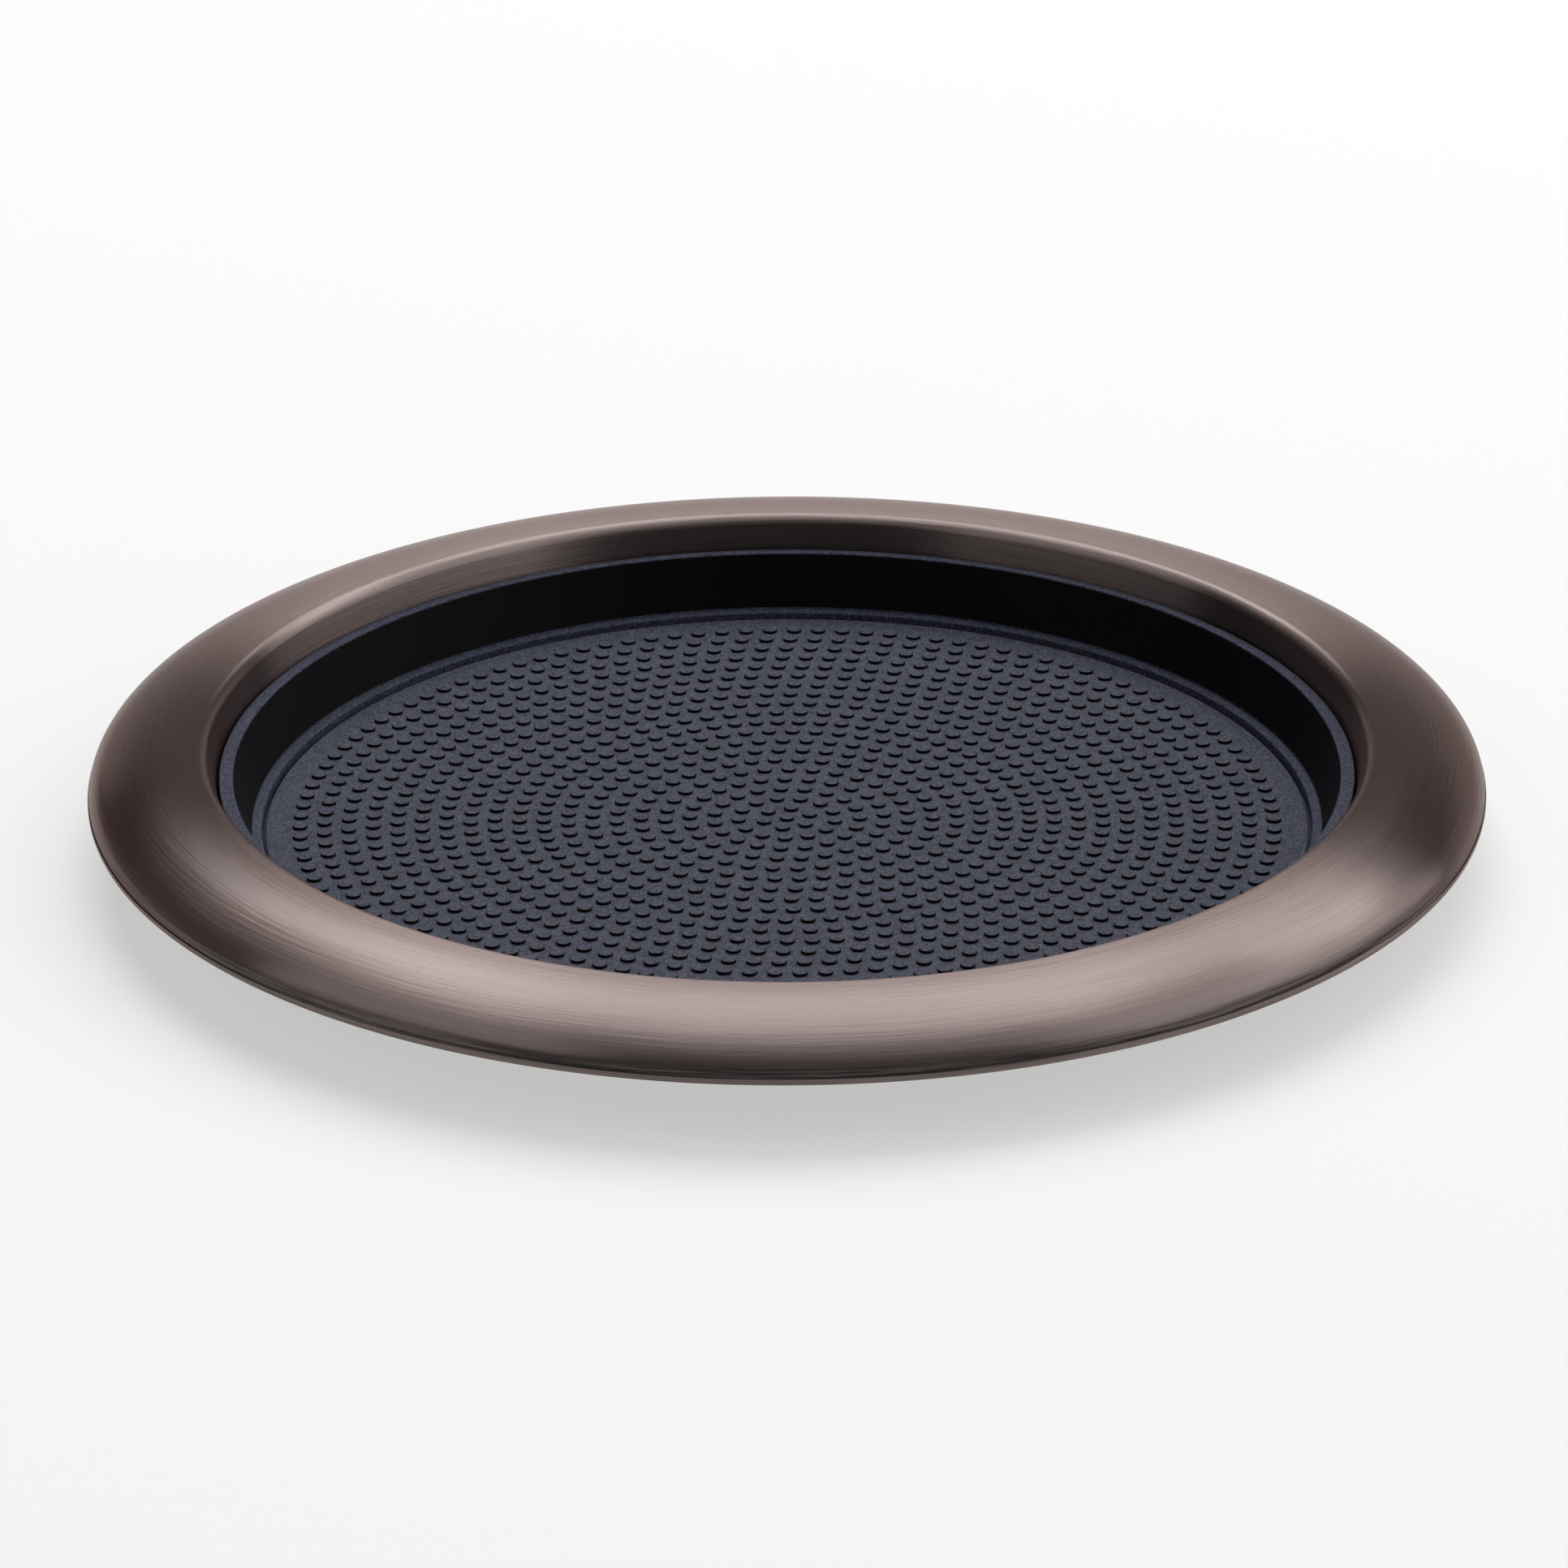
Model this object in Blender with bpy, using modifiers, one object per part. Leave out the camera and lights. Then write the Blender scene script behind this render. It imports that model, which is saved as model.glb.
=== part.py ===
"""Round serving tray with a hollow metal rim and a lift-out insert.

Four pieces make the tray. The rim shell is one pressed sheet: the floor of the well, its
side, the rolled crest and the wide domed rim down to the hem. The base shell is the sheet
below it, which closes the hollow rim and is gripped in the hem. The insert dish drops into
the well, and the grip mat with its raised dots lies in the dish inside a raised ledge.

Lengths are metres, +Z is up, and the origin is the centre of the face the tray stands on.
"""

import math

import bmesh
import bpy
from mathutils import Matrix

# Metal: the two sheets and the hem that joins them
OUTER_DIAMETER = 0.3556
SHEET = 0.0007
SEAT_GAP = 0.0003
RIM_WIDTH = 0.0329
RIM_DROP = 0.0137
CREST_RISE = 0.0081
CREST_LEAN = 0.0025
ROLL_RADIUS = 0.0050
HEM_PROUD = 0.0003
HEM_LAP = 0.0040
WELL_TAPER = 0.0014
WELL_CORNER = 0.0040

# Underside: a pressed panel inside the ring that the tray stands on
PANEL_RISE = 0.0006
PANEL_STEP_RUN = 0.0020
FOOT_WIDTH = 0.0200
SKIRT_STEEPNESS = math.radians(62)
SKIRT_HEIGHT = 0.0115
SKIRT_ROUND = 0.0060
FLANGE_WIDTH = 0.0060
FLANGE_ROUND = 0.0030

# Insert: the moulded dish and the mat that lies in it
DISH_WALL = 0.0016
DISH_CORNER = 0.0022
LIP_WIDTH = 0.0036
LIP_FALL = 0.0005
LIP_ROUND = 0.0005
WALL_LEAN = 0.0046
LIP_ABOVE_MAT = 0.0162
LEDGE_WIDTH = 0.0024
LEDGE_ABOVE_MAT = 0.0015
LEDGE_ROUND = 0.0005
MAT_THICKNESS = 0.0015
MAT_SIDE_GAP = 0.0008
MAT_CHAMFER = 0.0008

# Grip dots: the mat has them twice as close, and the model has every second ring of them
DOT_RING_PITCH = 0.012435
DOT_RADIUS = 0.0019
DOT_RISE = 0.00075
DOT_ROOT = 0.0005
DOT_MARGIN = 0.0060

# Mesh density
TURN_STEPS = 48
DOME_STEPS = 7
ROLL_STEPS = 3
CORNER_STEPS = 2
EDGE_STEPS = 2
DOT_SIDES = 5
MERGE_DISTANCE = 0.00005

# Radii, from the hem inwards
hem_radius = OUTER_DIAMETER / 2
well_radius = hem_radius - RIM_WIDTH
well_floor_radius = well_radius - WELL_TAPER
crest_inner_radius = well_radius + CREST_LEAN
dome_start_radius = crest_inner_radius + ROLL_RADIUS
dome_end_radius = hem_radius - HEM_PROUD
lip_outer_radius = well_radius - SEAT_GAP
wall_top_radius = lip_outer_radius - LIP_WIDTH
wall_foot_radius = wall_top_radius - WALL_LEAN
ledge_inner_radius = wall_foot_radius - LEDGE_WIDTH
mat_radius = ledge_inner_radius - MAT_SIDE_GAP
corner_centre_radius = well_floor_radius - WELL_CORNER
panel_radius = corner_centre_radius - FOOT_WIDTH

# Heights, from the face the tray stands on upwards
well_floor_height = PANEL_RISE + SHEET + SEAT_GAP + SHEET
insert_height = well_floor_height + SEAT_GAP
mat_height = DISH_WALL + SEAT_GAP
mat_top = mat_height + MAT_THICKNESS
ledge_top = mat_top + LEDGE_ABOVE_MAT
lip_top = mat_top + LIP_ABOVE_MAT
lip_underside = lip_top - LIP_FALL - DISH_WALL
crest_height = insert_height + lip_top + CREST_RISE
hem_bottom = crest_height - RIM_DROP
fold_radius = SHEET + SEAT_GAP
hem_height = SHEET + SEAT_GAP + SHEET + SEAT_GAP
dome_foot = hem_bottom + hem_height
flange_height = hem_bottom + SHEET + SEAT_GAP
flange_radius = dome_end_radius - SHEET - SEAT_GAP
skirt_corner = well_floor_height + WELL_CORNER


def fillet_points(before, corner, after, radius, steps):
    """Returns the points of the arc that rounds one corner of a path.

    The radius is limited so that the arc starts no further back than the middle of the
    shorter of the two runs that meet in the corner.
    """
    back = (before[0] - corner[0], before[1] - corner[1])
    ahead = (after[0] - corner[0], after[1] - corner[1])
    back_length = math.hypot(*back)
    ahead_length = math.hypot(*ahead)
    back_angle = math.atan2(back[1], back[0])
    turn = math.atan2(ahead[1], ahead[0]) - back_angle
    turn = math.remainder(turn, math.tau)
    half = abs(turn) / 2
    reach = min(radius / math.tan(half), back_length / 2, ahead_length / 2)
    radius = reach * math.tan(half)
    middle = back_angle + turn / 2
    centre_distance = radius / math.sin(half)
    centre = (
        corner[0] + centre_distance * math.cos(middle),
        corner[1] + centre_distance * math.sin(middle),
    )
    side = math.copysign(1, turn)
    start = back_angle - side * math.pi / 2
    sweep = side * (2 * half - math.pi)
    angles = [start + sweep * step / steps for step in range(steps + 1)]
    return [(centre[0] + radius * math.cos(a), centre[1] + radius * math.sin(a)) for a in angles]


def rounded_path(corners):
    """Turns (radius, height, rounding, steps) corners into the points of a path."""
    points = [corners[0][:2]]
    for before, corner, after in zip(corners, corners[1:], corners[2:]):
        if corner[2] > 0:
            points += fillet_points(before, corner, after, corner[2], corner[3])
        else:
            points.append(corner[:2])
    points.append(corners[-1][:2])
    return points


def dome_points():
    """Returns the quarter ellipse from the top of the rim down to the hem."""
    width = dome_end_radius - dome_start_radius
    height = crest_height - dome_foot
    points = []
    for step in range(DOME_STEPS + 1):
        angle = math.pi / 2 * step / DOME_STEPS
        points.append((
            dome_start_radius + width * math.sin(angle),
            dome_foot + height * math.cos(angle),
        ))
    return points


def rim_shell_path():
    """Upper face of the rim shell: well floor, side, rolled crest, dome and hem."""
    well = rounded_path([
        (0, well_floor_height, 0, 0),
        (well_floor_radius, well_floor_height, WELL_CORNER, CORNER_STEPS),
        (well_radius, insert_height + lip_underside, 0, 0),
        (crest_inner_radius, crest_height, ROLL_RADIUS, ROLL_STEPS),
        (dome_start_radius, crest_height, 0, 0),
    ])
    hem = rounded_path([
        (dome_end_radius, dome_foot, 0, 0),
        (hem_radius, dome_foot - HEM_PROUD, 0, 0),
        (hem_radius, hem_bottom, fold_radius, EDGE_STEPS),
        (hem_radius - HEM_LAP, hem_bottom, 0, 0),
    ])
    return well + dome_points()[1:-1] + hem


def base_shell_path():
    """Lower face of the base shell: the flange in the hem, the skirt and the base."""
    skirt_foot_radius = corner_centre_radius + skirt_corner * math.sin(SKIRT_STEEPNESS)
    skirt_foot_height = skirt_corner * (1 - math.cos(SKIRT_STEEPNESS))
    skirt_top_radius = skirt_foot_radius + SKIRT_HEIGHT / math.tan(SKIRT_STEEPNESS)
    base_edge_radius = corner_centre_radius + skirt_corner * math.tan(SKIRT_STEEPNESS / 2)
    return rounded_path([
        (flange_radius, flange_height, 0, 0),
        (flange_radius - FLANGE_WIDTH, flange_height, FLANGE_ROUND, EDGE_STEPS),
        (skirt_top_radius, skirt_foot_height + SKIRT_HEIGHT, SKIRT_ROUND, CORNER_STEPS),
        (base_edge_radius, 0, skirt_corner, CORNER_STEPS),
        (panel_radius + PANEL_STEP_RUN, 0, 0, 0),
        (panel_radius, PANEL_RISE, 0, 0),
        (0, PANEL_RISE, 0, 0),
    ])


def insert_dish_path():
    """Outline of half the dish, from the middle of its floor round to its underside."""
    slope = WALL_LEAN / (lip_top - ledge_top)
    lean = math.atan(slope)
    wall_run = DISH_WALL / math.cos(lean)
    outer_top_radius = wall_foot_radius + slope * (lip_underside - ledge_top) + wall_run
    outer_foot_radius = wall_foot_radius - slope * ledge_top + wall_run
    return rounded_path([
        (0, DISH_WALL, 0, 0),
        (ledge_inner_radius, DISH_WALL, 0, 0),
        (ledge_inner_radius, ledge_top, LEDGE_ROUND, EDGE_STEPS),
        (wall_foot_radius, ledge_top, 0, 0),
        (wall_top_radius, lip_top, LIP_ROUND, EDGE_STEPS),
        (lip_outer_radius, lip_top - LIP_FALL, LIP_ROUND, EDGE_STEPS),
        (lip_outer_radius, lip_underside, 0, 0),
        (outer_top_radius, lip_underside, 0, 0),
        (outer_foot_radius, 0, DISH_CORNER, CORNER_STEPS),
        (0, 0, 0, 0),
    ])


def make_material(name, colour, roughness, metallic):
    """Makes a plain material from a colour in linear light."""
    material = bpy.data.materials.new(name)
    material.use_nodes = True
    shader = material.node_tree.nodes["Principled BSDF"]
    shader.inputs["Base Color"].default_value = (*colour, 1)
    shader.inputs["Roughness"].default_value = roughness
    shader.inputs["Metallic"].default_value = metallic
    material.diffuse_color = (*colour, 1)
    return material


def turned_piece(name, path, collection, parent, height, material):
    """Turns a path round the Z axis to make one named piece."""
    outline = bmesh.new()
    points = [outline.verts.new((radius, 0, z)) for radius, z in path]
    for start, end in zip(points, points[1:]):
        outline.edges.new((start, end))
    mesh = bpy.data.meshes.new(name)
    outline.to_mesh(mesh)
    outline.free()
    mesh.materials.append(material)
    piece = bpy.data.objects.new(name, mesh)
    piece.location.z = height
    piece.parent = parent
    collection.objects.link(piece)
    turn = piece.modifiers.new("Turn", "SCREW")
    turn.axis = "Z"
    turn.steps = TURN_STEPS
    turn.render_steps = TURN_STEPS
    turn.use_merge_vertices = True
    turn.merge_threshold = MERGE_DISTANCE
    turn.use_smooth_shade = True
    return piece


def mat_disc():
    """Returns the mesh of the plain mat, a disc with a chamfer round its upper edge."""
    disc = bmesh.new()
    bmesh.ops.create_cone(
        disc,
        cap_ends=True,
        segments=TURN_STEPS,
        radius1=mat_radius,
        radius2=mat_radius,
        depth=MAT_THICKNESS,
        matrix=Matrix.Translation((0, 0, MAT_THICKNESS / 2)),
    )
    upper = {vert for vert in disc.verts if vert.co.z > MAT_THICKNESS / 2}
    bmesh.ops.bevel(
        disc,
        geom=[edge for edge in disc.edges if upper.issuperset(edge.verts)],
        affect="EDGES",
        offset=MAT_CHAMFER,
        segments=1,
        profile=0.5,
        material=-1,
    )
    mesh = bpy.data.meshes.new("grip_mat")
    disc.to_mesh(mesh)
    disc.free()
    return mesh


def dot_pattern():
    """Returns the mesh of all the dots: one in the middle and rings of them round it.

    The dots of a ring lie about as far apart as the rings do, and each ring starts a third
    of a step further on than the ring inside it.
    """
    dots = bmesh.new()
    rings = int((mat_radius - DOT_MARGIN) / DOT_RING_PITCH)
    middle = MAT_THICKNESS + (DOT_RISE - DOT_ROOT) / 2
    for ring in range(rings + 1):
        place = Matrix.Translation((ring * DOT_RING_PITCH, 0, middle))
        count = max(1, int(math.tau * ring))
        for number in range(count):
            turn = Matrix.Rotation(math.tau * (number + ring / 3) / count, 4, "Z")
            bmesh.ops.create_cone(
                dots,
                cap_ends=True,
                segments=DOT_SIDES,
                radius1=DOT_RADIUS,
                radius2=DOT_RADIUS,
                depth=DOT_ROOT + DOT_RISE,
                matrix=turn @ place,
            )
    mesh = bpy.data.meshes.new("grip_dots")
    dots.to_mesh(mesh)
    dots.free()
    return mesh


def dotted_mat(collection, helpers, parent, material):
    """Makes the mat and joins the dots to its upper face, as one moulding."""
    mat = bpy.data.objects.new("grip_mat", mat_disc())
    mat.data.materials.append(material)
    collection.objects.link(mat)
    dots = bpy.data.objects.new("grip_dots", dot_pattern())
    dots.hide_render = True
    dots.display_type = "WIRE"
    helpers.objects.link(dots)
    for piece in (mat, dots):
        piece.parent = parent
        piece.location.z = mat_height
    moulding = mat.modifiers.new("Dots", "BOOLEAN")
    moulding.operation = "UNION"
    moulding.solver = "EXACT"
    moulding.object = dots
    return mat


def add_sheet_thickness(piece):
    """Gives a turned face the thickness of the sheet, behind the face."""
    sheet = piece.modifiers.new("Sheet", "SOLIDIFY")
    sheet.thickness = SHEET
    sheet.offset = -1
    sheet.use_even_offset = True
    sheet.use_quality_normals = True


def add_shading(piece):
    """Keeps wide faces flat where they meet narrow rounded edges."""
    piece.modifiers.new("Shading", "WEIGHTED_NORMAL")


def make_group(name, collection, parent, height):
    """Makes the empty that carries the pieces which move together."""
    group = bpy.data.objects.new(name, None)
    group.empty_display_size = well_radius
    group.location.z = height
    group.parent = parent
    collection.objects.link(group)
    return group


def main():
    for old in list(bpy.data.objects):
        bpy.data.objects.remove(old)
    collection = bpy.data.collections.new("round_serving_tray")
    helpers = bpy.data.collections.new("joined_shapes")
    for group in (collection, helpers):
        bpy.context.scene.collection.children.link(group)

    steel = make_material("brushed_bronze_steel", (0.29, 0.24, 0.225), 0.33, 1.0)
    steel_under = make_material("plain_steel_underside", (0.27, 0.23, 0.22), 0.42, 1.0)
    dish_rubber = make_material("black_moulded_insert", (0.045, 0.047, 0.055), 0.62, 0.0)
    mat_rubber = make_material("black_grip_rubber", (0.050, 0.052, 0.061), 0.70, 0.0)

    tray = make_group("tray", collection, None, 0)
    insert = make_group("insert", collection, tray, insert_height)

    rim_shell = turned_piece("rim_shell", rim_shell_path(), collection, tray, 0, steel)
    base_shell = turned_piece("base_shell", base_shell_path(), collection, tray, 0, steel_under)
    add_sheet_thickness(rim_shell)
    add_sheet_thickness(base_shell)
    insert_dish = turned_piece("insert_dish", insert_dish_path(), collection, insert, 0, dish_rubber)
    grip_mat = dotted_mat(collection, helpers, insert, mat_rubber)
    for piece in (rim_shell, base_shell, insert_dish, grip_mat):
        add_shading(piece)


main()
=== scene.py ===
import math

import bmesh
import bpy
from mathutils import Matrix, Vector


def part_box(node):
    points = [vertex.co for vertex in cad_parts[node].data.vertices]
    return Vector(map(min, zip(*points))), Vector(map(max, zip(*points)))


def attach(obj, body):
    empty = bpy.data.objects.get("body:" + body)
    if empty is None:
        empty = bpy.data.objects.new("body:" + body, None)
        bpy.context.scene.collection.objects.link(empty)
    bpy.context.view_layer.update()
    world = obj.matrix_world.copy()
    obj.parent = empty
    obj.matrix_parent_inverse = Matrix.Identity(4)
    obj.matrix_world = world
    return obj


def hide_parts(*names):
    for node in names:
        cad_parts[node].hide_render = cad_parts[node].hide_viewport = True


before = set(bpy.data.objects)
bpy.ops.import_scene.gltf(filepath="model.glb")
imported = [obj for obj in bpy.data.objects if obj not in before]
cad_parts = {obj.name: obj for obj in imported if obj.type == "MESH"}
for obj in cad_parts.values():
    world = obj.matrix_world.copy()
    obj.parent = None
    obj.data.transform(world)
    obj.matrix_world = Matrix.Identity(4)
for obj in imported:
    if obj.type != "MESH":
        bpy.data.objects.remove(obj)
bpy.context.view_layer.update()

# Lengths are in metres

# Metal: the pressed sheets and the hem that joins them
SHEET = 0.0007
SEAT_GAP = 0.0003
CREST_RISE = 0.0081
CREST_LEAN = 0.0025
RIM_WIDTH = 0.0329
RIM_DROP = 0.0137
ROLL_RADIUS = 0.0050
HEM_PROUD = 0.0003
HEM_LAP = 0.0040
WELL_TAPER = 0.0014
WELL_CORNER = 0.0040

# Underside: flange and skirt, the ring that the tray stands on and the panel inside it
FLANGE_WIDTH = 0.0060
FLANGE_ROUND = 0.0030
SKIRT_STEEPNESS = math.radians(62)
SKIRT_HEIGHT = 0.0115
SKIRT_ROUND = 0.0060
FOOT_WIDTH = 0.0200
PANEL_STEP_RUN = 0.0020
PANEL_RISE = 0.0006

# Insert: the moulded dish and the mat that lies in it
DISH_WALL = 0.0016
DISH_CORNER = 0.0022
LIP_WIDTH = 0.0036
LIP_FALL = 0.0005
LIP_ROUND = 0.0005
WALL_LEAN = 0.0046
LIP_ABOVE_MAT = 0.0162
LEDGE_WIDTH = 0.0024
LEDGE_ABOVE_MAT = 0.0015
LEDGE_ROUND = 0.0005
MAT_THICKNESS = 0.0015
MAT_SIDE_GAP = 0.0008
MAT_CHAMFER = 0.0004

# Grip dots: rings one pitch apart, and how many dots each ring holds
DOT_PITCH = 0.0062175
DOT_RADIUS = 0.0019
DOT_RISE = 0.00075
DOT_EDGE = 0.00016
DOT_ROOT = 0.0002
DOTS_IN_RING = (
    6, 13, 19, 25, 31, 38, 44, 50, 57, 69, 69, 76, 82, 88, 94, 100, 106, 108, 114, 120,
)
RING_IN_LINE = 10

# Brush marks, each by its width and its length round the tray. Real grit lines are about
# 0.05 mm wide, too fine to show, so these go from 0.6 mm down to the finest that shows
BRUSH_LINE = 0.0006
BRUSH_STROKE = 0.032
BRUSH_PASS = 0.0020
BRUSH_PASS_STROKE = 0.080
GROOVE_DEPTH = 0.00011
# Height above the foot of the dome of the painted shade in the corner above the hem
PAINTED_SHADE_HEIGHT = 0.0042

# Marks that pressing and moulding leave: how wide the clouds and grains are, how deep the
# grains, and how much the roughness of a moulding drifts from cloud to cloud
PRESSED_CLOUD = 0.025
PRESSED_GRAIN = 0.00056
PRESSED_DEPTH = 0.00005
MOULDED_CLOUD = 0.011
ETCHED_GRAIN = 0.0007
ETCHED_DEPTH = 0.00008
ROUGHNESS_DRIFT = 0.04
# A face counts as facing down where its normal points down by more than this
FACING_DOWN = -0.1

# Mesh density
TURN_STEPS = 288
DOME_STEPS = 32
ROLL_STEPS = 12
CORNER_STEPS = 6
EDGE_STEPS = 4
DOT_SIDES = 16
MERGE_DISTANCE = 0.000002
CRISP_ANGLE = math.radians(35)

# Radii of the metal, then those of the insert
hem_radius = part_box("rim_shell")[1].x
dome_end_radius = hem_radius - HEM_PROUD
flange_radius = dome_end_radius - SHEET - SEAT_GAP
well_radius = hem_radius - RIM_WIDTH
crest_inner_radius = well_radius + CREST_LEAN
dome_start_radius = crest_inner_radius + ROLL_RADIUS
well_floor_radius = well_radius - WELL_TAPER
corner_centre_radius = well_floor_radius - WELL_CORNER
panel_radius = corner_centre_radius - FOOT_WIDTH
lip_outer_radius = well_radius - SEAT_GAP
wall_top_radius = lip_outer_radius - LIP_WIDTH
wall_foot_radius = wall_top_radius - WALL_LEAN
ledge_inner_radius = wall_foot_radius - LEDGE_WIDTH
mat_radius = ledge_inner_radius - MAT_SIDE_GAP

# Heights above the face that the tray stands on
well_floor_height = PANEL_RISE + SHEET + SEAT_GAP + SHEET
dish_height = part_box("insert_dish")[0].z
mat_height = dish_height + DISH_WALL + SEAT_GAP
mat_top = mat_height + MAT_THICKNESS
ledge_top = mat_top + LEDGE_ABOVE_MAT
lip_top = mat_top + LIP_ABOVE_MAT
lip_underside = lip_top - LIP_FALL - DISH_WALL
crest_height = lip_top + CREST_RISE
hem_bottom = crest_height - RIM_DROP
dome_foot = hem_bottom + 2 * (SHEET + SEAT_GAP)
flange_height = hem_bottom + SHEET + SEAT_GAP


def start_outline():
    """Starts an outline that keeps how far along itself each of its points lies."""
    bm = bmesh.new()
    bm.verts.layers.float.new("run")
    return bm


def add_chain(bm, corners):
    """Joins (radius, height, rounding, steps) corners and rounds those that ask for it."""
    verts = [bm.verts.new((radius, 0, height)) for radius, height, _, _ in corners]
    for start, end in zip(verts, verts[1:]):
        bm.edges.new((start, end))
    for vert, before, corner, after in zip(verts[1:], corners, corners[1:], corners[2:]):
        radius, height, rounding, steps = corner
        if not rounding:
            continue
        back = Vector((before[0] - radius, before[1] - height))
        ahead = Vector((after[0] - radius, after[1] - height))
        reach = rounding / math.tan(back.angle(ahead) / 2)
        bmesh.ops.bevel(
            bm,
            geom=[vert],
            affect="VERTICES",
            offset_type="OFFSET",
            offset=min(reach, back.length / 2, ahead.length / 2),
            segments=steps,
            profile=0.5,
            material=-1,
        )


def add_dome(bm):
    """Adds the quarter ellipse of the rim, from its crest down to the hem."""
    others = set(bm.verts)
    top = bm.verts.new((0, 0, 1))
    bmesh.ops.spin(
        bm, geom=[top], cent=(0, 0, 0), axis=(0, 1, 0), angle=math.pi / 2, steps=DOME_STEPS
    )
    arc = [vert for vert in bm.verts if vert not in others]
    size = Vector((dome_end_radius - dome_start_radius, 1, crest_height - dome_foot))
    bmesh.ops.scale(bm, vec=size, verts=arc)
    bmesh.ops.translate(bm, vec=(dome_start_radius, 0, dome_foot), verts=arc)


def measure_run(bm):
    """Writes on each point of the outline how far along the outline it lies."""
    layer = bm.verts.layers.float["run"]
    ends = [vert for vert in bm.verts if len(vert.link_edges) == 1]
    vert = max(ends, key=lambda end: end.co.z)
    done = 0.0
    came_by = None
    while vert:
        vert[layer] = done
        onward = [edge for edge in vert.link_edges if edge is not came_by]
        if not onward:
            break
        came_by = onward[0]
        done += came_by.calc_length()
        vert = came_by.other_vert(vert)


def turn_outline(bm, sheet=0.0):
    """Turns the outline round the Z axis, and gives a sheet its thickness."""
    bmesh.ops.remove_doubles(bm, verts=bm.verts, dist=MERGE_DISTANCE)
    measure_run(bm)
    bmesh.ops.spin(
        bm,
        geom=bm.verts[:] + bm.edges[:],
        cent=(0, 0, 0),
        axis=(0, 0, 1),
        angle=math.tau,
        steps=TURN_STEPS,
        use_merge=True,
    )
    bmesh.ops.remove_doubles(bm, verts=bm.verts, dist=MERGE_DISTANCE)
    bmesh.ops.recalc_face_normals(bm, faces=bm.faces)
    if sheet:
        bmesh.ops.solidify(bm, geom=bm.faces[:], thickness=sheet)


def unroll(bm):
    """Lays a map on a turned piece: across goes round the tray, up goes along the outline."""
    run = bm.verts.layers.float["run"]
    turned = bm.loops.layers.uv.new("turned")
    for face in bm.faces:
        middle = face.calc_center_median()
        towards = math.atan2(middle.y, middle.x)
        for loop in face.loops:
            spot = loop.vert.co
            swing = math.remainder(math.atan2(spot.y, spot.x) - towards, math.tau)
            if spot.xy.length < MERGE_DISTANCE:
                swing = 0
            loop[turned].uv = ((towards + swing) / math.tau, loop.vert[run])


def add_dot(bm, ring_radius):
    """Adds one grip dot with a softened edge, and returns its points."""
    height = DOT_RISE + DOT_ROOT
    dot = bmesh.ops.create_cone(
        bm,
        cap_ends=True,
        segments=DOT_SIDES,
        radius1=DOT_RADIUS,
        radius2=DOT_RADIUS,
        depth=height,
        matrix=Matrix.Translation((ring_radius, 0, mat_top + DOT_RISE - height / 2)),
    )["verts"]
    upper = {vert for vert in dot if vert.co.z > mat_top}
    brink = {edge for vert in upper for edge in vert.link_edges if edge.other_vert(vert) in upper}
    bevelled = bmesh.ops.bevel(
        bm,
        geom=list(brink),
        affect="EDGES",
        offset=DOT_EDGE,
        segments=1,
        profile=0.5,
        material=-1,
    )
    return [vert for vert in dot + bevelled["verts"] if vert.is_valid]


def finish_piece(bm, name, material, body, node):
    """Makes the shape a smooth-shaded object that stands for its node of the frame."""
    for face in bm.faces:
        face.smooth = True
    for edge in bm.edges:
        edge.smooth = edge.calc_face_angle(0) < CRISP_ANGLE
    mesh = bpy.data.meshes.new(name)
    bm.to_mesh(mesh)
    bm.free()
    mesh.materials.append(material)
    piece = bpy.data.objects.new(name, mesh)
    bpy.context.scene.collection.objects.link(piece)
    shading = piece.modifiers.new("Wide faces stay flat", "WEIGHTED_NORMAL")
    shading.keep_sharp = True
    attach(piece, body)
    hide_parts(node)


def colour(code):
    """Turns an sRGB hex colour into the linear colour that a shader takes."""
    channels = [int(code[start:start + 2], 16) / 255 for start in (1, 3, 5)]
    linear = [c / 12.92 if c <= 0.04045 else ((c + 0.055) / 1.055) ** 2.4 for c in channels]
    return (*linear, 1)


def new_material(name):
    """Starts a material and returns it with its node tree and its main shader."""
    material = bpy.data.materials.new(name)
    material.use_nodes = True
    return material, material.node_tree, material.node_tree.nodes["Principled BSDF"]


def set_inputs(tree, node, inputs):
    """Gives a node's inputs their values, or links them where another node makes the value."""
    for name, value in inputs.items():
        if isinstance(value, bpy.types.NodeSocket):
            tree.links.new(value, node.inputs[name])
        else:
            node.inputs[name].default_value = value


def add_node(tree, kind, settings, inputs):
    """Adds one node with its settings and its inputs."""
    node = tree.nodes.new(kind)
    for name, value in settings.items():
        setattr(node, name, value)
    set_inputs(tree, node, inputs)
    return node


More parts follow.
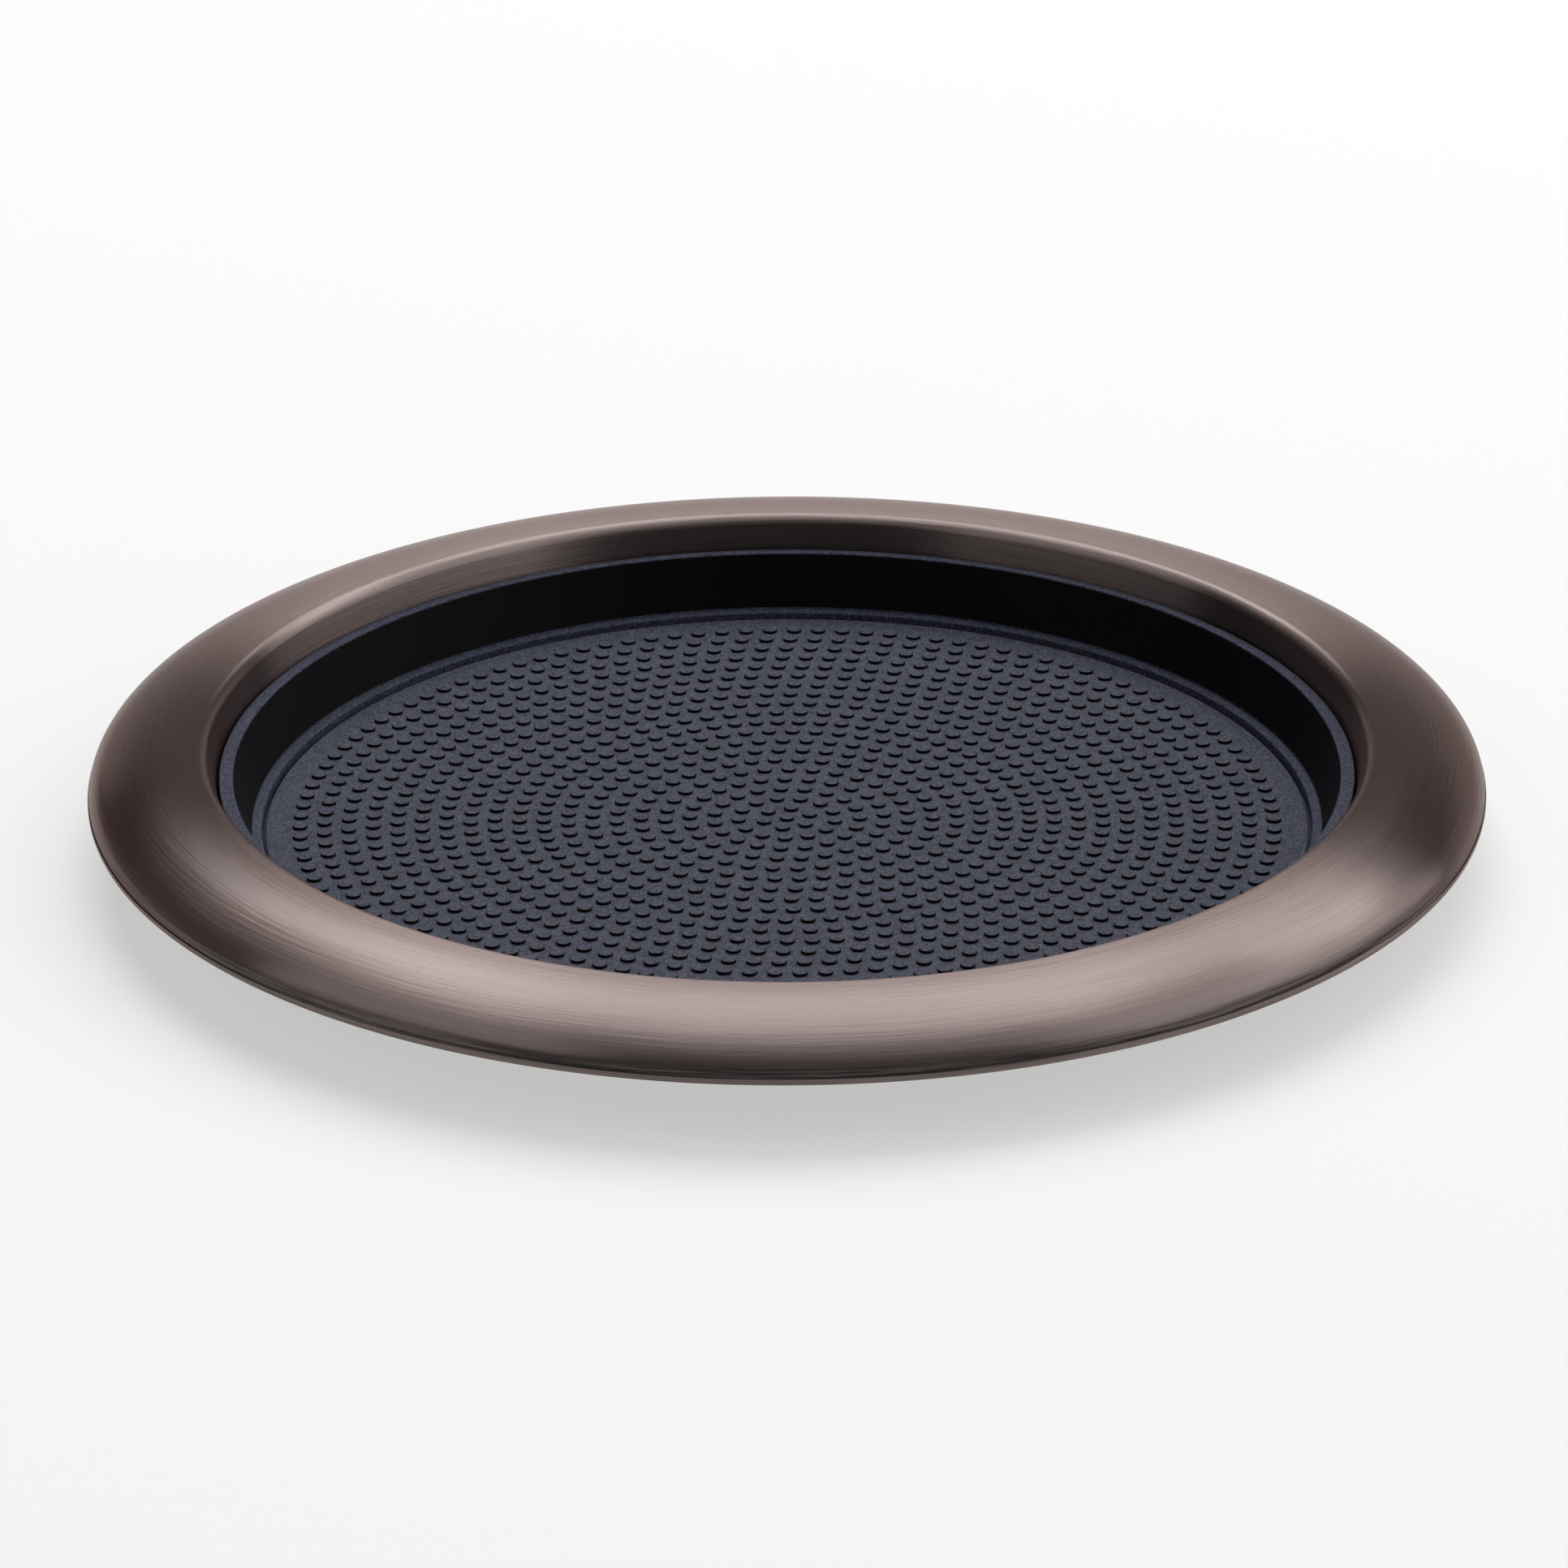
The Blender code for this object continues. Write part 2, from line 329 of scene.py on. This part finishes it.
def brushed_coated_steel():
    """Stainless steel with a bronze vacuum coat, brushed while it turns on a lathe.

    The brush lines run round the tray, so a reflection is drawn out across them: it makes
    broad bands at the front and back, and the two sides stay dark. The lines themselves
    show as fine light and dark streaks. A thin clear lacquer lies over them, and makes the
    brightest part of each band whiter than the bronze.
    """
    material, tree, shader = new_material("brushed bronze-coated stainless steel")
    spot = add_node(tree, "ShaderNodeTexCoord", {}, {}).outputs["Object"]
    height = add_node(tree, "ShaderNodeSeparateXYZ", {}, {0: spot}).outputs["Z"]
    flat = add_node(tree, "ShaderNodeVectorMath", {"operation": "MULTIPLY"}, {
        0: spot, 1: (1, 1, 0),
    }).outputs[0]
    radius = add_node(tree, "ShaderNodeVectorMath", {"operation": "LENGTH"}, {
        0: flat,
    }).outputs["Value"]
    heading = add_node(tree, "ShaderNodeVectorMath", {"operation": "NORMALIZE"}, {
        0: flat,
    }).outputs[0]

    def brush_lines(line_width, stroke_length, detail):
        """Noise that is as fine as a brush line across and as long as a stroke along."""
        across = add_node(tree, "ShaderNodeMath", {"operation": "DIVIDE"}, {
            0: radius, 1: line_width,
        })
        up = add_node(tree, "ShaderNodeMath", {"operation": "DIVIDE"}, {
            0: height, 1: line_width,
        })
        along = add_node(tree, "ShaderNodeVectorMath", {"operation": "SCALE"}, {
            0: heading, "Scale": hem_radius / stroke_length,
        })
        rise = add_node(tree, "ShaderNodeCombineXYZ", {}, {"Z": across.outputs[0]})
        place = add_node(tree, "ShaderNodeVectorMath", {"operation": "ADD"}, {
            0: along.outputs[0], 1: rise.outputs[0],
        })
        noise = add_node(tree, "ShaderNodeTexNoise", {"noise_dimensions": "4D"}, {
            "Vector": place.outputs[0], "W": up.outputs[0], "Scale": 1.0,
            "Detail": detail, "Roughness": 0.6,
        })
        return noise.outputs["Fac"]

    fine = brush_lines(BRUSH_LINE, BRUSH_STROKE, 3.0)
    broad = brush_lines(BRUSH_PASS, BRUSH_PASS_STROKE, 1.0)
    tone = add_node(tree, "ShaderNodeMapRange", {}, {
        "Value": fine, "From Min": 0.3, "From Max": 0.7, "To Min": 0.0, "To Max": 1.0,
    })
    brushed = add_node(tree, "ShaderNodeMix", {"data_type": "RGBA"}, {
        "Factor": tone.outputs[0], "A": colour("#766966"), "B": colour("#807370"),
    })

    # Painted shade: the corner above the hem is mixed towards a dark brown, in place of the dark
    # surroundings that the metal there would reflect, with the brush lines lighter in it. The
    # face of the hem gets a little of the same painted shade, so it is only a little darker
    corner = add_node(tree, "ShaderNodeMapRange", {"interpolation_type": "SMOOTHSTEP"}, {
        "Value": height, "From Min": dome_foot, "From Max": dome_foot + PAINTED_SHADE_HEIGHT,
        "To Min": 1.2, "To Max": 0.0,
    })
    shade_streaks = add_node(tree, "ShaderNodeMapRange", {}, {
        "Value": fine, "From Min": 0.4, "From Max": 0.6, "To Min": 1.0, "To Max": 0.5,
    })
    above_hem = add_node(tree, "ShaderNodeMapRange", {}, {
        "Value": height, "From Min": dome_foot - HEM_PROUD, "From Max": dome_foot,
        "To Min": 0.25, "To Max": 1.0,
    })
    shade = add_node(tree, "ShaderNodeMath", {"operation": "MULTIPLY"}, {
        0: corner.outputs[0], 1: above_hem.outputs[0],
    })
    shade = add_node(tree, "ShaderNodeMath", {"operation": "MULTIPLY", "use_clamp": True}, {
        0: shade.outputs[0], 1: shade_streaks.outputs[0],
    })
    # Painted shade: the corner above the hem and the face of the hem are mixed towards dark brown
    base = add_node(tree, "ShaderNodeMix", {"data_type": "RGBA"}, {
        "Factor": shade.outputs[0], "A": brushed.outputs["Result"], "B": colour("#1a1211"),
    })

    rough = add_node(tree, "ShaderNodeMapRange", {}, {
        "Value": broad, "From Min": 0.3, "From Max": 0.7, "To Min": 0.315, "To Max": 0.33,
    })
    groove = add_node(tree, "ShaderNodeBump", {}, {
        "Height": fine, "Strength": 0.8, "Distance": GROOVE_DEPTH,
    })
    # The tangent runs along the brush lines, and a quarter turn draws the reflection out
    # across them
    round_tray = add_node(tree, "ShaderNodeTangent", {
        "direction_type": "UV_MAP", "uv_map": "turned",
    }, {})
    set_inputs(tree, shader, {
        "Base Color": base.outputs["Result"],
        "Metallic": 1.0,
        "Roughness": rough.outputs[0],
        "Normal": groove.outputs[0],
        "Tangent": round_tray.outputs[0],
        "Anisotropic": 1.0,
        "Anisotropic Rotation": 0.25,
        "Specular Tint": colour("#c4a9a2"),
        "Coat Weight": 0.4,
        "Coat Roughness": 0.2,
        "Coat IOR": 1.5,
        "Coat Normal": groove.outputs[0],
    })
    return material


def satin_coated_steel():
    """The same coated steel as it leaves the press, which nothing brushes underneath.

    It is an even satin with a faint cloudiness from the drawing of the sheet.
    """
    material, tree, shader = new_material("satin bronze-coated stainless steel")
    spot = add_node(tree, "ShaderNodeTexCoord", {}, {}).outputs["Object"]
    cloud = add_node(tree, "ShaderNodeTexNoise", {}, {
        "Vector": spot, "Scale": 1 / PRESSED_CLOUD, "Detail": 4.0, "Roughness": 0.6,
    })
    grain = add_node(tree, "ShaderNodeTexNoise", {}, {
        "Vector": spot, "Scale": 1 / PRESSED_GRAIN, "Detail": 2.0, "Roughness": 0.6,
    })
    base = add_node(tree, "ShaderNodeMix", {"data_type": "RGBA"}, {
        "Factor": cloud.outputs["Fac"], "A": colour("#6f625a"), "B": colour("#7f7169"),
    })
    rough = add_node(tree, "ShaderNodeMapRange", {}, {
        "Value": cloud.outputs["Fac"], "From Min": 0.3, "From Max": 0.7,
        "To Min": 0.40, "To Max": 0.50,
    })
    dimple = add_node(tree, "ShaderNodeBump", {}, {
        "Height": grain.outputs["Fac"], "Strength": 0.2, "Distance": PRESSED_DEPTH,
    })
    set_inputs(tree, shader, {
        "Base Color": base.outputs["Result"],
        "Metallic": 1.0,
        "Roughness": rough.outputs[0],
        "Normal": dimple.outputs[0],
    })
    return material


def moulded_black(name, dark, pale, roughness, smooth_shade_from, smooth_shade_to):
    """Black compound moulded in an etched tool.

    The etched skin is matte and blue-grey, with specks a few tenths of a millimetre wide.
    Between two heights the tool isn't etched where it faces the inside, and the skin is
    even. There it is painted near black, as painted shade for the upright faces that the
    lamps leave dark: the wall of the dish, and the sides of the grip dots.
    """
    material, tree, shader = new_material(name)
    place = add_node(tree, "ShaderNodeTexCoord", {}, {})
    spot = place.outputs["Object"]
    grain = add_node(tree, "ShaderNodeTexNoise", {}, {
        "Vector": spot, "Scale": 1 / ETCHED_GRAIN, "Detail": 3.0, "Roughness": 0.65,
    })
    cloud = add_node(tree, "ShaderNodeTexNoise", {}, {
        "Vector": spot, "Scale": 1 / MOULDED_CLOUD, "Detail": 3.0, "Roughness": 0.55,
    })
    speck = add_node(tree, "ShaderNodeMapRange", {}, {
        "Value": grain.outputs["Fac"], "From Min": 0.40, "From Max": 0.68,
        "To Min": 0.0, "To Max": 1.0,
    })
    skin = add_node(tree, "ShaderNodeMix", {"data_type": "RGBA"}, {
        "Factor": speck.outputs[0], "A": colour(dark), "B": colour(pale),
    })

    # The wall leans outwards, so that its outer side is the one that faces down, and it is
    # etched
    height = add_node(tree, "ShaderNodeSeparateXYZ", {}, {0: spot}).outputs["Z"]
    facing = add_node(tree, "ShaderNodeSeparateXYZ", {}, {0: place.outputs["Normal"]})
    in_zone = add_node(tree, "ShaderNodeMath", {"operation": "COMPARE"}, {
        0: height, 1: (smooth_shade_from + smooth_shade_to) / 2, 2: (smooth_shade_to - smooth_shade_from) / 2,
    })
    inside = add_node(tree, "ShaderNodeMath", {"operation": "GREATER_THAN"}, {
        0: facing.outputs["Z"], 1: FACING_DOWN,
    })
    smooth = add_node(tree, "ShaderNodeMath", {"operation": "MULTIPLY"}, {
        0: in_zone.outputs[0], 1: inside.outputs[0],
    })
    etched = add_node(tree, "ShaderNodeMath", {"operation": "SUBTRACT"}, {
        0: 1.0, 1: smooth.outputs[0],
    })
    # Painted shade: the smooth zone on the upright faces is mixed to near black
    base = add_node(tree, "ShaderNodeMix", {"data_type": "RGBA"}, {
        "Factor": smooth.outputs[0], "A": skin.outputs["Result"], "B": colour("#08090b"),
    })

    rough = add_node(tree, "ShaderNodeMapRange", {}, {
        "Value": cloud.outputs["Fac"], "From Min": 0.3, "From Max": 0.7,
        "To Min": roughness - ROUGHNESS_DRIFT, "To Max": roughness + ROUGHNESS_DRIFT,
    })
    etching = add_node(tree, "ShaderNodeBump", {}, {
        "Height": grain.outputs["Fac"], "Strength": etched.outputs[0], "Distance": ETCHED_DEPTH,
    })
    set_inputs(tree, shader, {
        "Base Color": base.outputs["Result"],
        "Roughness": rough.outputs[0],
        "Normal": etching.outputs[0],
        "IOR": 1.5,
        "Specular IOR Level": 0.10,
    })
    return material


def pale_floor_paint():
    """Matt off-white paint on the floor under the tray.

    The eye and the metal see it paler than it is lit, and its shadows lighter.
    """
    material, tree, shader = new_material("plain pale floor")
    set_inputs(tree, shader, {
        "Base Color": colour("#f4f4f4"),
        "Roughness": 0.9,
        "Specular IOR Level": 0.0,
    })
    ray = add_node(tree, "ShaderNodeLightPath", {}, {})
    seen = add_node(tree, "ShaderNodeMath", {"operation": "ADD"}, {
        0: ray.outputs["Is Camera Ray"], 1: ray.outputs["Is Glossy Ray"],
    })
    seen = add_node(tree, "ShaderNodeMath", {"operation": "ADD"}, {
        0: seen.outputs[0], 1: ray.outputs["Is Transmission Ray"],
    })
    share = add_node(tree, "ShaderNodeMath", {"operation": "MULTIPLY"}, {
        0: seen.outputs[0], 1: FLOOR_PALENESS,
    })
    white = add_node(tree, "ShaderNodeEmission", {}, {"Strength": 1.0})
    pale = add_node(tree, "ShaderNodeMixShader", {}, {
        "Fac": share.outputs[0], 1: shader.outputs[0], 2: white.outputs[0],
    })
    set_inputs(tree, tree.nodes["Material Output"], {"Surface": pale.outputs[0]})
    return material


rim_steel = brushed_coated_steel()
base_steel = satin_coated_steel()
# The last two numbers bound the smooth zone, which is painted near black as shade
dish_black = moulded_black(
    "black moulded ABS", "#2d2f3b", "#535669", 0.60,
    ledge_top + LEDGE_ROUND, lip_top - LIP_ROUND,
)
mat_black = moulded_black(
    "black moulded rubber", "#353742", "#595b69", 0.70,
    mat_top + DOT_EDGE / 4, mat_top + DOT_RISE - DOT_EDGE / 3,
)


# Rim shell: well floor, well side, rolled crest, dome and the hem folded under
rim = start_outline()
add_chain(rim, [
    (0, well_floor_height, 0, 0),
    (well_floor_radius, well_floor_height, WELL_CORNER, CORNER_STEPS),
    (well_radius, lip_underside, 0, 0),
    (crest_inner_radius, crest_height, ROLL_RADIUS, ROLL_STEPS),
    (dome_start_radius, crest_height, 0, 0),
])
add_dome(rim)
add_chain(rim, [
    (dome_end_radius, dome_foot, 0, 0),
    (hem_radius, dome_foot - HEM_PROUD, 0, 0),
    (hem_radius, hem_bottom, SHEET + SEAT_GAP, CORNER_STEPS),
    (hem_radius - HEM_LAP, hem_bottom, 0, 0),
])
turn_outline(rim, SHEET)
unroll(rim)
finish_piece(rim, "dressed_rim_shell", rim_steel, "tray", "rim_shell")

# Base shell: flange in the hem, skirt, the ring it stands on and the raised panel. The bend
# at the foot of the skirt goes round the same centre as the corner of the well
skirt_bend = well_floor_height + WELL_CORNER
skirt_foot_radius = corner_centre_radius + skirt_bend * math.sin(SKIRT_STEEPNESS)
skirt_foot_height = skirt_bend * (1 - math.cos(SKIRT_STEEPNESS))
skirt_top_radius = skirt_foot_radius + SKIRT_HEIGHT / math.tan(SKIRT_STEEPNESS)
base_edge_radius = corner_centre_radius + skirt_bend * math.tan(SKIRT_STEEPNESS / 2)
base = start_outline()
add_chain(base, [
    (flange_radius, flange_height, 0, 0),
    (flange_radius - FLANGE_WIDTH, flange_height, FLANGE_ROUND, CORNER_STEPS),
    (skirt_top_radius, skirt_foot_height + SKIRT_HEIGHT, SKIRT_ROUND, CORNER_STEPS),
    (base_edge_radius, 0, skirt_bend, CORNER_STEPS),
    (panel_radius + PANEL_STEP_RUN, 0, SHEET, EDGE_STEPS),
    (panel_radius, PANEL_RISE, SHEET, EDGE_STEPS),
    (0, PANEL_RISE, 0, 0),
])
turn_outline(base, -SHEET)
finish_piece(base, "dressed_base_shell", base_steel, "tray", "base_shell")

# Insert dish: floor, ledge, leaning wall and flat lip
slope = WALL_LEAN / (lip_top - ledge_top)
wall_run = DISH_WALL / math.cos(math.atan(slope))
outer_top_radius = wall_foot_radius + slope * (lip_underside - ledge_top) + wall_run
outer_foot_radius = wall_foot_radius - slope * (ledge_top - dish_height) + wall_run
dish = start_outline()
add_chain(dish, [
    (0, dish_height + DISH_WALL, 0, 0),
    (ledge_inner_radius, dish_height + DISH_WALL, 0, 0),
    (ledge_inner_radius, ledge_top, LEDGE_ROUND, EDGE_STEPS),
    (wall_foot_radius, ledge_top, 0, 0),
    (wall_top_radius, lip_top, LIP_ROUND, EDGE_STEPS),
    (lip_outer_radius, lip_top - LIP_FALL, LIP_ROUND, EDGE_STEPS),
    (lip_outer_radius, lip_underside, 0, 0),
    (outer_top_radius, lip_underside, 0, 0),
    (outer_foot_radius, dish_height, DISH_CORNER, CORNER_STEPS),
    (0, dish_height, 0, 0),
])
turn_outline(dish)
finish_piece(dish, "dressed_insert_dish", dish_black, "insert", "insert_dish")

# Grip mat: a chamfered disc with a dot in the middle and twenty rings round it
mat = start_outline()
add_chain(mat, [
    (0, mat_top, 0, 0),
    (mat_radius - MAT_CHAMFER, mat_top, 0, 0),
    (mat_radius, mat_top - MAT_CHAMFER, 0, 0),
    (mat_radius, mat_height, 0, 0),
    (0, mat_height, 0, 0),
])
turn_outline(mat)
for ring, count in enumerate((1,) + DOTS_IN_RING):
    dot = add_dot(mat, ring * DOT_PITCH)
    faces = {face for vert in dot for face in vert.link_faces}
    # Each ring starts a third of a step further on than the ring inside it, but for one,
    # which stands in line with the next
    step = math.tau / count
    thirds = ring + 1 if ring == RING_IN_LINE else ring
    bmesh.ops.rotate(
        mat,
        cent=(0, 0, 0),
        matrix=Matrix.Rotation(thirds * step / 3, 3, "Z"),
        verts=list({vert for face in faces for vert in face.verts}),
    )
    if count > 1:
        bmesh.ops.spin(
            mat,
            geom=list(faces),
            cent=(0, 0, 0),
            axis=(0, 0, 1),
            angle=step * (count - 1),
            steps=count - 1,
            use_duplicate=True,
        )
finish_piece(mat, "dressed_grip_mat", mat_black, "insert", "grip_mat")


# Floor
FLOOR_HALF = 6.0
FLOOR_PALENESS = 0.5

floor_shape = bmesh.new()
bmesh.ops.create_grid(floor_shape, x_segments=1, y_segments=1, size=FLOOR_HALF)
floor_mesh = bpy.data.meshes.new("floor")
floor_shape.to_mesh(floor_mesh)
floor_shape.free()
floor_mesh.materials.append(pale_floor_paint())
floor = bpy.data.objects.new("floor", floor_mesh)
bpy.context.scene.collection.objects.link(floor)

# Soft studio light: lamps by name, degrees up, degrees round from behind the tray towards
# the right, distance, width, height and brightness
SOFTBOXES = (
    ("back_softbox", 44, -3, 4.0, 2.30, 1.90, 3.1),
    ("back_left_softbox", 41, -19, 4.0, 1.10, 0.70, 2.7),
    ("back_right_softbox", 43, 42, 4.0, 2.20, 1.10, 2.7),
    ("overhead_softbox", 68, 1, 4.0, 3.50, 2.10, 2.75),
    ("right_overhead_softbox", 72, 106, 4.0, 4.60, 4.60, 0.4),
    ("right_softbox", 27, 92, 4.0, 6.30, 3.20, 1.15),
    ("left_softbox", 35, -115, 4.0, 4.10, 2.30, 0.8),
    ("low_back_board", 10.5, 9, 4.4, 7.20, 1.50, 0.45),
)
ROOM_BRIGHTNESS = 0.04


def add_softbox(name, degrees_up, degrees_round, distance, width, height, brightness):
    """Hangs a soft rectangular lamp that faces the tray."""
    lamp_data = bpy.data.lights.new(name, "AREA")
    lamp_data.shape = "RECTANGLE"
    lamp_data.size = width
    lamp_data.size_y = height
    lamp_data.energy = brightness * math.pi * width * height
    lamp = bpy.data.objects.new(name, lamp_data)
    bpy.context.scene.collection.objects.link(lamp)
    elevation = math.radians(degrees_up)
    azimuth = math.radians(degrees_round)
    aim = Vector((
        math.cos(elevation) * math.sin(azimuth),
        math.cos(elevation) * math.cos(azimuth),
        math.sin(elevation),
    ))
    lamp.location = aim * distance
    lamp.rotation_euler = aim.to_track_quat("Z", "Y").to_euler()


for softbox in SOFTBOXES:
    add_softbox(*softbox)
room = bpy.data.worlds.new("studio")
room.use_nodes = True
set_inputs(room.node_tree, room.node_tree.nodes["Background"], {
    "Color": colour("#ffffff"), "Strength": ROOM_BRIGHTNESS,
})
bpy.context.scene.world = room

# Camera: it looks at the middle of the mat, which the picture shows at the target pixel and
# at this many pixels to the metre. The sensor is in millimetres
CAMERA_DISTANCE = 2.008
CAMERA_ELEVATION = math.radians(24.06)
CAMERA_ROLL = -0.0038
IMAGE_SIDE = 1932
PIXELS_PER_METRE = 4818.7
TARGET_PIXEL = Vector((969.7, 1008.95))
SENSOR_WIDTH = 36.0

camera_data = bpy.data.cameras.new("camera")
camera_data.sensor_fit = "HORIZONTAL"
camera_data.sensor_width = SENSOR_WIDTH
camera_data.lens = PIXELS_PER_METRE * CAMERA_DISTANCE / IMAGE_SIDE * SENSOR_WIDTH
camera_data.shift_x = (IMAGE_SIDE / 2 - TARGET_PIXEL.x) / IMAGE_SIDE
camera_data.shift_y = (TARGET_PIXEL.y - IMAGE_SIDE / 2) / IMAGE_SIDE
camera = bpy.data.objects.new("camera", camera_data)
bpy.context.scene.collection.objects.link(camera)
camera.matrix_world = (
    Matrix.Translation((0, 0, mat_top))
    @ Matrix.Rotation(math.pi / 2 - CAMERA_ELEVATION, 4, "X")
    @ Matrix.Translation((0, 0, CAMERA_DISTANCE))
    @ Matrix.Rotation(CAMERA_ROLL, 4, "Z")
)
bpy.context.scene.camera = camera
bpy.context.scene.view_settings.view_transform = "Standard"
